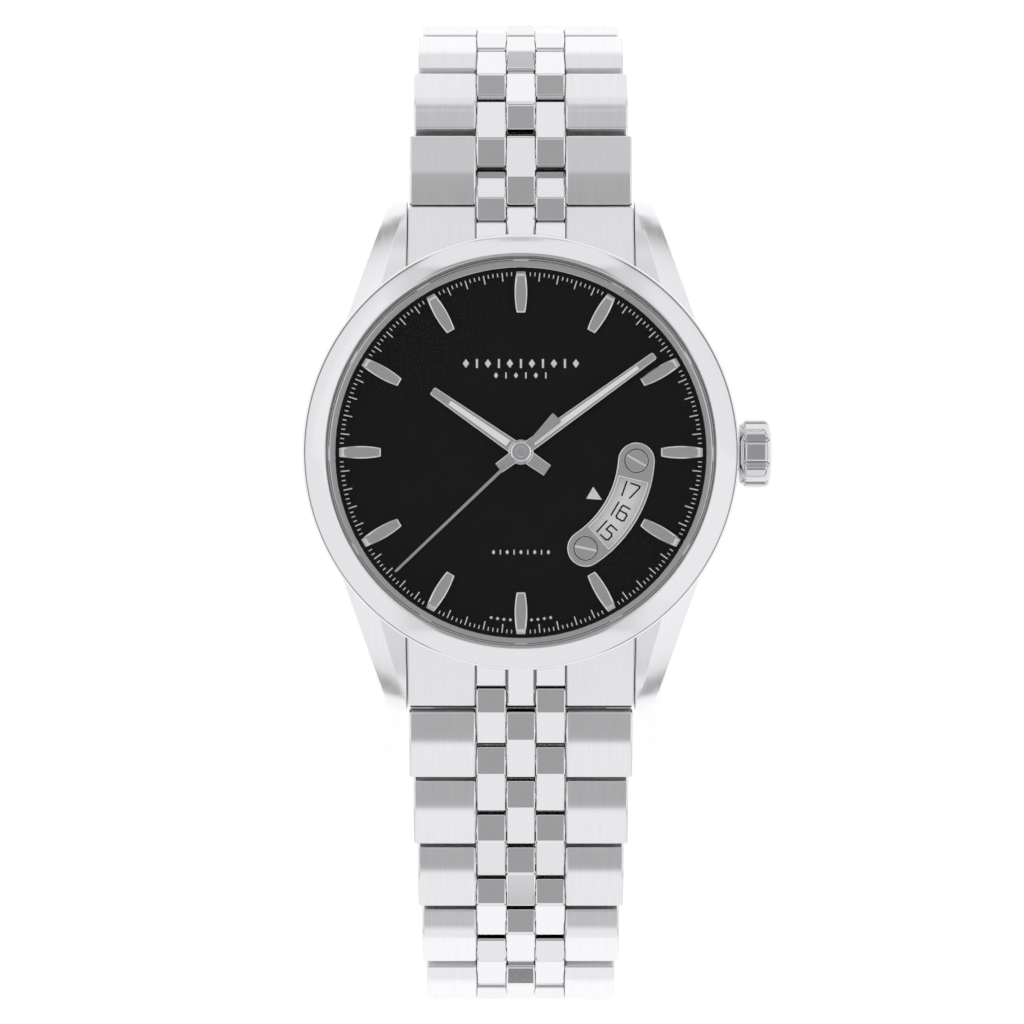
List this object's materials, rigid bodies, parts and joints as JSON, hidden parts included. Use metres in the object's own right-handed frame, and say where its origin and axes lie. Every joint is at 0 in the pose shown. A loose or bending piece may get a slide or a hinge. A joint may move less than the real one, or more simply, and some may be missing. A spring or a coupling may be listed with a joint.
{
  "type": "wristwatch",
  "caption": "Round automatic wristwatch with hands, markers and an arched date window on a five-row steel link bracelet with a folding butterfly clasp.",
  "frame": {"origin": "centre of the case back's outer flat face, the glass that rests on the wrist", "axes": "+Z out of the dial towards the eye, +Y towards 12 o'clock, +X towards the crown at 3 o'clock; the closed bracelet hangs in -Z"},
  "size_m": [0.0452, 0.0976, 0.0571],
  "materials": {
    "steel": "polished and brushed case steel",
    "brushed_link_steel": "brushed bracelet steel",
    "polished_steel": "mirror-polished steel",
    "grey_steel": "satin grey steel",
    "nickel": "nickel-plated movement plates",
    "gilt_brass": "gilt brass",
    "dial_black": "gloss black lacquer",
    "date_white": "matt silver-white",
    "sapphire": "clear sapphire"
  },
  "bodies": {
    "case": {"case_middle": "steel", "bezel": "steel", "crystal": "sapphire", "flange_ring": "polished_steel", "case_back_ring": "steel", "case_back_glass": "sapphire", "dial": "dial_black", "date_frame": "grey_steel", "main_plate": "nickel", "train_bridge": "nickel", "balance_cock": "nickel", "end_link_12": "brushed_link_steel", "end_link_6": "brushed_link_steel"},
    "link_12_wide_1": {"link_12_wide_1": "brushed_link_steel"},
    "link_12_narrow_1": {"link_12_narrow_1": "brushed_link_steel"},
    "link_12_wide_2": {"link_12_wide_2": "brushed_link_steel"},
    "link_12_narrow_2": {"link_12_narrow_2": "brushed_link_steel"},
    "link_12_wide_3": {"link_12_wide_3": "brushed_link_steel"},
    "link_12_narrow_3": {"link_12_narrow_3": "brushed_link_steel"},
    "link_12_wide_4": {"link_12_wide_4": "brushed_link_steel"},
    "link_12_narrow_4": {"link_12_narrow_4": "brushed_link_steel"},
    "link_12_wide_5": {"link_12_wide_5": "brushed_link_steel"},
    "link_12_narrow_5": {"link_12_narrow_5": "brushed_link_steel"},
    "link_12_wide_6": {"link_12_wide_6": "brushed_link_steel"},
    "link_12_narrow_6": {"link_12_narrow_6": "brushed_link_steel"},
    "link_12_wide_7": {"link_12_wide_7": "brushed_link_steel"},
    "link_12_narrow_7": {"link_12_narrow_7": "brushed_link_steel"},
    "link_12_wide_8": {"link_12_wide_8": "brushed_link_steel"},
    "link_12_narrow_8": {"link_12_narrow_8": "brushed_link_steel"},
    "clasp_cover_12": {"clasp_cover_12": "brushed_link_steel"},
    "clasp_blade_12": {"clasp_blade_12": "polished_steel"},
    "clasp_plate": {"clasp_plate": "polished_steel"},
    "clasp_blade_6": {"clasp_blade_6": "polished_steel"},
    "clasp_cover_6": {"clasp_cover_6": "brushed_link_steel"},
    "link_6_narrow_8": {"link_6_narrow_8": "brushed_link_steel"},
    "link_6_wide_8": {"link_6_wide_8": "brushed_link_steel"},
    "link_6_narrow_7": {"link_6_narrow_7": "brushed_link_steel"},
    "link_6_wide_7": {"link_6_wide_7": "brushed_link_steel"},
    "link_6_narrow_6": {"link_6_narrow_6": "brushed_link_steel"},
    "link_6_wide_6": {"link_6_wide_6": "brushed_link_steel"},
    "link_6_narrow_5": {"link_6_narrow_5": "brushed_link_steel"},
    "link_6_wide_5": {"link_6_wide_5": "brushed_link_steel"},
    "link_6_narrow_4": {"link_6_narrow_4": "brushed_link_steel"},
    "link_6_wide_4": {"link_6_wide_4": "brushed_link_steel"},
    "link_6_narrow_3": {"link_6_narrow_3": "brushed_link_steel"},
    "link_6_wide_3": {"link_6_wide_3": "brushed_link_steel"},
    "link_6_narrow_2": {"link_6_narrow_2": "brushed_link_steel"},
    "link_6_wide_2": {"link_6_wide_2": "brushed_link_steel"},
    "link_6_narrow_1": {"link_6_narrow_1": "brushed_link_steel"},
    "link_6_wide_1": {"link_6_wide_1": "brushed_link_steel"},
    "hour_hand": {"hour_hand": "grey_steel"},
    "minute_hand": {"minute_hand": "grey_steel"},
    "seconds_hand": {"seconds_hand": "grey_steel"},
    "date_ring": {"date_ring": "date_white"},
    "balance_wheel": {"balance_wheel": "gilt_brass"},
    "rotor": {"rotor": "nickel"},
    "winding_stem": {"winding_stem": "polished_steel"},
    "crown": {"crown": "polished_steel"},
    "push_button_left": {"push_button_left": "polished_steel"},
    "push_button_right": {"push_button_right": "polished_steel"}
  },
  "joints": [
    {"name": "hour_turn", "type": "hinge", "parent": "case", "child": "hour_hand", "pos_m": [0, 0, 0.0074], "axis": [0, 0, -1], "continuous": true},
    {"name": "minute_turn", "type": "hinge", "parent": "case", "child": "minute_hand", "pos_m": [0, 0, 0.0077], "axis": [0, 0, -1], "continuous": true},
    {"name": "seconds_turn", "type": "hinge", "parent": "case", "child": "seconds_hand", "pos_m": [0, 0, 0.008], "axis": [0, 0, -1], "continuous": true},
    {"name": "date_turn", "type": "hinge", "parent": "case", "child": "date_ring", "pos_m": [0, 0, 0.006], "axis": [0, 0, -1], "continuous": true},
    {"name": "balance_swing", "type": "hinge", "parent": "case", "child": "balance_wheel", "pos_m": [-0.0062, -0.0062, 0.0034], "axis": [0, 0, 1], "range_deg": [-290, 290], "stiffness_Nm_per_rad": 0.00000045},
    {"name": "rotor_turn", "type": "hinge", "parent": "case", "child": "rotor", "pos_m": [0, 0, 0.002], "axis": [0, 0, 1], "continuous": true},
    {"name": "crown_pull", "type": "slide", "parent": "case", "child": "winding_stem", "axis": [1, 0, 0], "range_m": [0, 0.0012]},
    {"name": "crown_turn", "type": "hinge", "parent": "winding_stem", "child": "crown", "pos_m": [0.0225, 0, 0.0048], "axis": [1, 0, 0], "continuous": true},
    {"name": "pin_12_1", "type": "hinge", "parent": "case", "child": "link_12_wide_1", "pos_m": [0, 0.0258, 0.0025], "axis": [1, 0, 0], "range_deg": [0, 8]},
    {"name": "pin_12_2", "type": "hinge", "parent": "link_12_wide_1", "child": "link_12_narrow_1", "pos_m": [0, 0.02938, 0.00215], "axis": [1, 0, 0], "range_deg": [0, 16]},
    {"name": "pin_12_3", "type": "hinge", "parent": "link_12_narrow_1", "child": "link_12_wide_2", "pos_m": [0, 0.03279, 0.00098], "axis": [1, 0, 0], "range_deg": [0, 15.5]},
    {"name": "pin_12_4", "type": "hinge", "parent": "link_12_wide_2", "child": "link_12_narrow_2", "pos_m": [0, 0.03584, -0.00092], "axis": [1, 0, 0], "range_deg": [0, 14.5]},
    {"name": "pin_12_5", "type": "hinge", "parent": "link_12_narrow_2", "child": "link_12_wide_3", "pos_m": [0, 0.03843, -0.00343], "axis": [1, 0, 0], "range_deg": [0, 14]},
    {"name": "pin_12_6", "type": "hinge", "parent": "link_12_wide_3", "child": "link_12_narrow_3", "pos_m": [0, 0.04047, -0.00639], "axis": [1, 0, 0], "range_deg": [0, 14.5]},
    {"name": "pin_12_7", "type": "hinge", "parent": "link_12_narrow_3", "child": "link_12_wide_4", "pos_m": [0, 0.04185, -0.00972], "axis": [1, 0, 0], "range_deg": [0, 14.5]},
    {"name": "pin_12_8", "type": "hinge", "parent": "link_12_wide_4", "child": "link_12_narrow_4", "pos_m": [0, 0.0425, -0.01326], "axis": [1, 0, 0], "range_deg": [0, 14]},
    {"name": "pin_12_9", "type": "hinge", "parent": "link_12_narrow_4", "child": "link_12_wide_5", "pos_m": [0, 0.04244, -0.01686], "axis": [1, 0, 0], "range_deg": [0, 12.5]},
    {"name": "pin_12_10", "type": "hinge", "parent": "link_12_wide_5", "child": "link_12_narrow_5", "pos_m": [0, 0.04175, -0.02039], "axis": [1, 0, 0], "range_deg": [0, 11.5]},
    {"name": "pin_12_11", "type": "hinge", "parent": "link_12_narrow_5", "child": "link_12_wide_6", "pos_m": [0, 0.04052, -0.02377], "axis": [1, 0, 0], "range_deg": [0, 10]},
    {"name": "pin_12_12", "type": "hinge", "parent": "link_12_wide_6", "child": "link_12_narrow_6", "pos_m": [0, 0.03886, -0.02697], "axis": [1, 0, 0], "range_deg": [0, 9]},
    {"name": "pin_12_13", "type": "hinge", "parent": "link_12_narrow_6", "child": "link_12_wide_7", "pos_m": [0, 0.03685, -0.02995], "axis": [1, 0, 0], "range_deg": [0, 7.5]},
    {"name": "pin_12_14", "type": "hinge", "parent": "link_12_wide_7", "child": "link_12_narrow_7", "pos_m": [0, 0.03458, -0.03275], "axis": [1, 0, 0], "range_deg": [0, 7]},
    {"name": "pin_12_15", "type": "hinge", "parent": "link_12_narrow_7", "child": "link_12_wide_8", "pos_m": [0, 0.0321, -0.03536], "axis": [1, 0, 0], "range_deg": [0, 7]},
    {"name": "pin_12_16", "type": "hinge", "parent": "link_12_wide_8", "child": "link_12_narrow_8", "pos_m": [0, 0.02943, -0.03777], "axis": [1, 0, 0], "range_deg": [0, 6.5]},
    {"name": "pin_12_17", "type": "hinge", "parent": "link_12_narrow_8", "child": "clasp_cover_12", "pos_m": [0, 0.02659, -0.03999], "axis": [1, 0, 0], "range_deg": [0, 21.75]},
    {"name": "leaf_12_fold", "type": "hinge", "parent": "clasp_cover_12", "child": "clasp_blade_12", "pos_m": [0, -0.00256, -0.04324], "axis": [1, 0, 0], "range_deg": [0, 165]},
    {"name": "leaf_12_to_plate", "type": "hinge", "parent": "clasp_blade_12", "child": "clasp_plate", "pos_m": [0, 0.01377, -0.04165], "axis": [1, 0, 0], "range_deg": [-165, 0]},
    {"name": "leaf_6_fold", "type": "hinge", "parent": "clasp_plate", "child": "clasp_blade_6", "pos_m": [0, -0.02684, -0.03958], "axis": [-1, 0, 0], "range_deg": [0, 165]},
    {"name": "leaf_6_to_cover", "type": "hinge", "parent": "clasp_blade_6", "child": "clasp_cover_6", "pos_m": [0, -0.01076, -0.04283], "axis": [-1, 0, 0], "range_deg": [-165, 0]},
    {"name": "pin_6_17", "type": "hinge", "parent": "clasp_cover_6", "child": "link_6_narrow_8", "pos_m": [0, -0.03942, -0.03662], "axis": [1, 0, 0], "range_deg": [0, 6.92]},
    {"name": "pin_6_16", "type": "hinge", "parent": "link_6_narrow_8", "child": "link_6_wide_8", "pos_m": [0, -0.04257, -0.03488], "axis": [1, 0, 0], "range_deg": [0, 10]},
    {"name": "pin_6_15", "type": "hinge", "parent": "link_6_wide_8", "child": "link_6_narrow_7", "pos_m": [0, -0.04547, -0.03274], "axis": [1, 0, 0], "range_deg": [0, 11.5]},
    {"name": "pin_6_14", "type": "hinge", "parent": "link_6_narrow_7", "child": "link_6_wide_7", "pos_m": [0, -0.04799, -0.03017], "axis": [1, 0, 0], "range_deg": [0, 13]},
    {"name": "pin_6_13", "type": "hinge", "parent": "link_6_wide_7", "child": "link_6_narrow_6", "pos_m": [0, -0.05, -0.02718], "axis": [1, 0, 0], "range_deg": [0, 14.5]},
    {"name": "pin_6_12", "type": "hinge", "parent": "link_6_narrow_6", "child": "link_6_wide_6", "pos_m": [0, -0.05135, -0.02385], "axis": [1, 0, 0], "range_deg": [0, 16.5]},
    {"name": "pin_6_11", "type": "hinge", "parent": "link_6_wide_6", "child": "link_6_narrow_5", "pos_m": [0, -0.05185, -0.02028], "axis": [1, 0, 0], "range_deg": [0, 18.5]},
    {"name": "pin_6_10", "type": "hinge", "parent": "link_6_narrow_5", "child": "link_6_wide_5", "pos_m": [0, -0.05135, -0.01672], "axis": [1, 0, 0], "range_deg": [0, 20.5]},
    {"name": "pin_6_9", "type": "hinge", "parent": "link_6_wide_5", "child": "link_6_narrow_4", "pos_m": [0, -0.04977, -0.01348], "axis": [1, 0, 0], "range_deg": [0, 16.5]},
    {"name": "pin_6_8", "type": "hinge", "parent": "link_6_narrow_4", "child": "link_6_wide_4", "pos_m": [0, -0.04746, -0.01072], "axis": [1, 0, 0], "range_deg": [0, 10.5]},
    {"name": "pin_6_7", "type": "hinge", "parent": "link_6_wide_4", "child": "link_6_narrow_3", "pos_m": [0, -0.04478, -0.00831], "axis": [1, 0, 0], "range_deg": [0, 7.5]},
    {"name": "pin_6_6", "type": "hinge", "parent": "link_6_narrow_3", "child": "link_6_wide_3", "pos_m": [0, -0.04191, -0.00615], "axis": [1, 0, 0], "range_deg": [0, 6]},
    {"name": "pin_6_5", "type": "hinge", "parent": "link_6_wide_3", "child": "link_6_narrow_2", "pos_m": [0, -0.03891, -0.00416], "axis": [1, 0, 0], "range_deg": [0, 5.5]},
    {"name": "pin_6_4", "type": "hinge", "parent": "link_6_narrow_2", "child": "link_6_wide_2", "pos_m": [0, -0.0358, -0.00233], "axis": [1, 0, 0], "range_deg": [0, 5.5]},
    {"name": "pin_6_3", "type": "hinge", "parent": "link_6_wide_2", "child": "link_6_narrow_1", "pos_m": [0, -0.03261, -0.00067], "axis": [1, 0, 0], "range_deg": [0, 4]},
    {"name": "pin_6_2", "type": "hinge", "parent": "link_6_narrow_1", "child": "link_6_wide_1", "pos_m": [0, -0.02938, 0.00091], "axis": [1, 0, 0], "range_deg": [0, 4]},
    {"name": "button_left_press", "type": "slide", "parent": "clasp_plate", "child": "push_button_left", "axis": [1, 0, 0], "range_m": [0, 0.0007], "stiffness_N_per_m": 300},
    {"name": "button_right_press", "type": "slide", "parent": "clasp_plate", "child": "push_button_right", "axis": [-1, 0, 0], "range_m": [0, 0.0007], "stiffness_N_per_m": 300}
  ],
  "couplings": [
    {"joint": "leaf_12_to_plate", "follows": "leaf_12_fold", "ratio": -1},
    {"joint": "leaf_6_to_cover", "follows": "leaf_6_fold", "ratio": -1},
    {"joint": "minute_turn", "follows": "hour_turn", "ratio": 12},
    {"joint": "seconds_turn", "follows": "hour_turn", "ratio": 720},
    {"joint": "date_turn", "follows": "hour_turn", "ratio": 0.016129}
  ]
}
